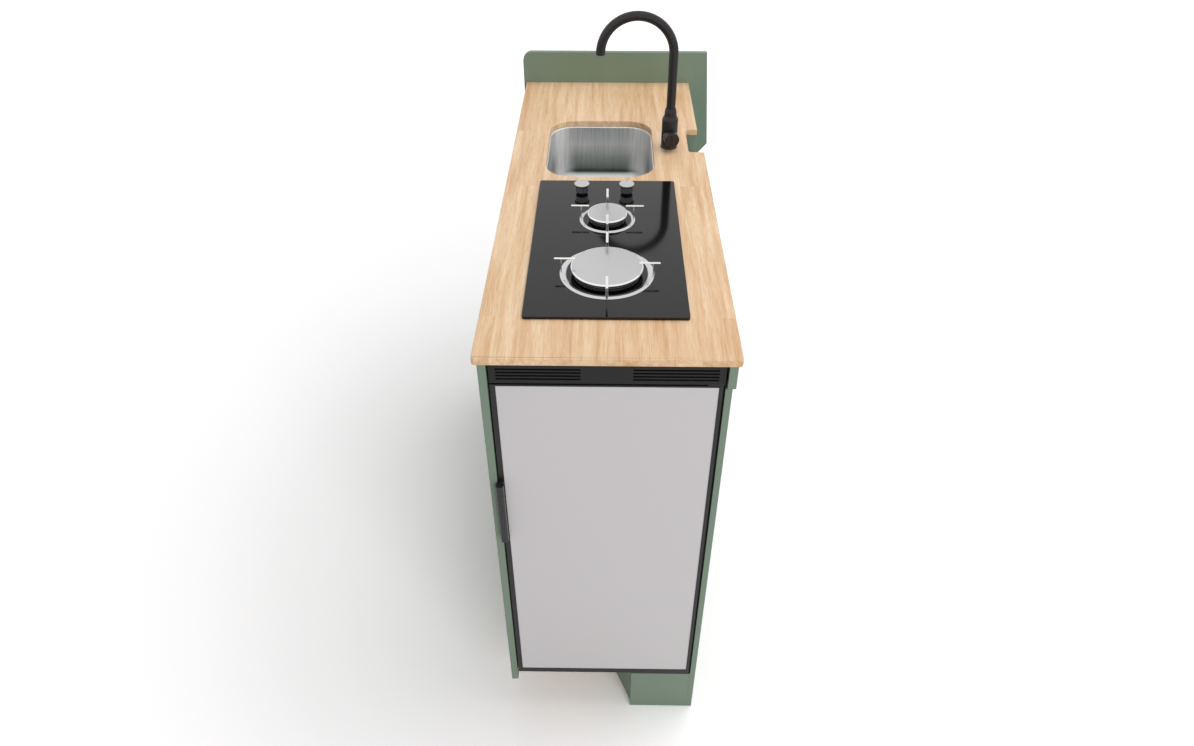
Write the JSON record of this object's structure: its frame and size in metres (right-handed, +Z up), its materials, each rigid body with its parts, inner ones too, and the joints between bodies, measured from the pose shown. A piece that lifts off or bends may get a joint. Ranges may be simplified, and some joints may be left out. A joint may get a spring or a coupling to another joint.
{
  "type": "kitchenette unit with sink and hob",
  "caption": "Slim camper kitchenette: oak worktop with gas hob, undermounted sink and swan-neck tap, tall front fridge, cupboard and drawers on the side, green carcass with raised end panel.",
  "frame": {"origin": "on the floor, in the middle of the unit's outline seen from above", "axes": "+Z up; +X from the aisle side to the wall side; +Y along the worktop from the fridge end to the raised end panel, so the fridge door faces -Y"},
  "size_m": [0.526, 1.28, 1.4155],
  "materials": {
    "green_laminate": "matt laminate on plywood",
    "oak_laminate": "satin light oak, grain along Y",
    "carcass_board": "plain plywood",
    "black_plastic": "satin",
    "grey_panel": "satin silver grey",
    "white_plastic": "gloss",
    "clear_plastic": "clear, frosted by its mould",
    "gasket": "soft",
    "zinc_steel": "plain zinc plated",
    "steel": "brushed stainless",
    "black_glass": "polished black, opaque",
    "shelf_glass": "clear tempered",
    "burner_iron": "matt enamel",
    "burner_cap": "satin",
    "brass": "plain",
    "knob_grey": "metal look",
    "tap_black": "satin black",
    "drawer_wood": "plain plywood",
    "compressor_black": "gloss"
  },
  "bodies": {
    "carcass": {"worktop": "oak_laminate", "side_board_aisle": "green_laminate", "side_board_wall": "green_laminate", "battens": "green_laminate", "end_panel": "green_laminate", "divider_fridge": "carcass_board", "divider_drawers": "carcass_board", "base_board": "carcass_board", "plinth_front": "green_laminate", "plinth_return": "green_laminate", "plinth_aisle": "green_laminate", "fridge_shell": "black_plastic", "fridge_liner": "white_plastic", "fridge_grille": "black_plastic", "fridge_hinges": "zinc_steel", "fridge_shelf_upper": "shelf_glass", "fridge_shelf_lower": "shelf_glass", "compressor": "compressor_black", "hob_glass": "black_glass", "hob_tray": "steel", "burner_large": "burner_iron", "burner_small": "burner_iron", "burner_cap_large": "burner_cap", "burner_cap_small": "burner_cap", "pan_support_large": "steel", "pan_support_small": "steel", "gas_manifold": "brass", "sink_bowl": "steel", "sink_clips": "zinc_steel", "sink_waste": "steel", "sink_trap": "white_plastic", "tap_body": "tap_black", "tap_locknut": "brass", "hinge_leaves_fixed": "zinc_steel", "drawer_runners": "zinc_steel"},
    "fridge_door": {"door_frame": "black_plastic", "door_panel": "grey_panel", "door_core": "white_plastic", "door_gasket": "gasket", "door_bin_upper": "clear_plastic", "door_bin_lower": "clear_plastic"},
    "door_handle": {"door_handle": "black_plastic"},
    "valve_left": {"valve_plug_left": "brass"},
    "valve_right": {"valve_plug_right": "brass"},
    "knob_left": {"knob_left": "knob_grey", "valve_stem_left": "steel"},
    "knob_right": {"knob_right": "knob_grey", "valve_stem_right": "steel"},
    "sink_plug": {"sink_plug": "steel"},
    "tap_spout": {"tap_spout": "tap_black"},
    "tap_handle": {"tap_handle": "tap_black"},
    "sink_door": {"sink_door": "green_laminate", "hinge_leaves_moving": "zinc_steel"},
    "drawer_upper": {"drawer_front_upper": "green_laminate", "drawer_box_upper": "drawer_wood"},
    "drawer_lower": {"drawer_front_lower": "green_laminate", "drawer_box_lower": "drawer_wood"},
    "lock_sink_door": {"lock_sink_door": "zinc_steel"},
    "lock_drawer_upper": {"lock_drawer_upper": "zinc_steel"},
    "lock_drawer_lower": {"lock_drawer_lower": "zinc_steel"}
  },
  "joints": [
    {"name": "fridge_door_hinge", "type": "hinge", "parent": "carcass", "child": "fridge_door", "pos_m": [0.171, -0.6165, 0.595], "axis": [0, 0, 1], "range_deg": [0, 95]},
    {"name": "fridge_handle_pivot", "type": "hinge", "parent": "fridge_door", "child": "door_handle", "pos_m": [-0.222, -0.6275, 0.721], "axis": [0, 0, 1], "range_deg": [0, 12], "stiffness_Nm_per_rad": 0.5},
    {"name": "gas_left_turn", "type": "hinge", "parent": "carcass", "child": "valve_left", "pos_m": [-0.0832, -0.045, 1.073], "axis": [0, 0, 1], "range_deg": [0, 210]},
    {"name": "gas_left_push", "type": "slide", "parent": "valve_left", "child": "knob_left", "axis": [0, 0, -1], "range_m": [0, 0.003], "stiffness_N_per_m": 1500, "springref_m": -0.003},
    {"name": "gas_right_turn", "type": "hinge", "parent": "carcass", "child": "valve_right", "pos_m": [0.0146, -0.045, 1.073], "axis": [0, 0, 1], "range_deg": [0, 210]},
    {"name": "gas_right_push", "type": "slide", "parent": "valve_right", "child": "knob_right", "axis": [0, 0, -1], "range_m": [0, 0.003], "stiffness_N_per_m": 1500, "springref_m": -0.003},
    {"name": "sink_plug_lift", "type": "slide", "parent": "carcass", "child": "sink_plug", "axis": [0, 0, 1], "range_m": [0, 0.09]},
    {"name": "tap_spout_turn", "type": "hinge", "parent": "carcass", "child": "tap_spout", "pos_m": [0.1203, 0.208, 1.18], "axis": [0, 0, 1], "range_deg": [-100, 100]},
    {"name": "tap_handle_turn", "type": "hinge", "parent": "carcass", "child": "tap_handle", "pos_m": [0.12475, 0.17631, 1.13], "axis": [0.1392, -0.9903, 0], "range_deg": [0, 90]},
    {"name": "sink_door_hinge", "type": "hinge", "parent": "carcass", "child": "sink_door", "pos_m": [-0.251, 0.0135, 0.6], "axis": [0, 0, 1], "range_deg": [0, 95]},
    {"name": "drawer_upper_slide", "type": "slide", "parent": "carcass", "child": "drawer_upper", "axis": [-1, 0, 0], "range_m": [0, 0.33]},
    {"name": "drawer_lower_slide", "type": "slide", "parent": "carcass", "child": "drawer_lower", "axis": [-1, 0, 0], "range_m": [0, 0.33]},
    {"name": "sink_door_lock_push", "type": "slide", "parent": "sink_door", "child": "lock_sink_door", "axis": [-1, 0, 0], "range_m": [0, 0.008]},
    {"name": "drawer_upper_lock_push", "type": "slide", "parent": "drawer_upper", "child": "lock_drawer_upper", "axis": [-1, 0, 0], "range_m": [0, 0.008]},
    {"name": "drawer_lower_lock_push", "type": "slide", "parent": "drawer_lower", "child": "lock_drawer_lower", "axis": [-1, 0, 0], "range_m": [0, 0.008]}
  ]
}
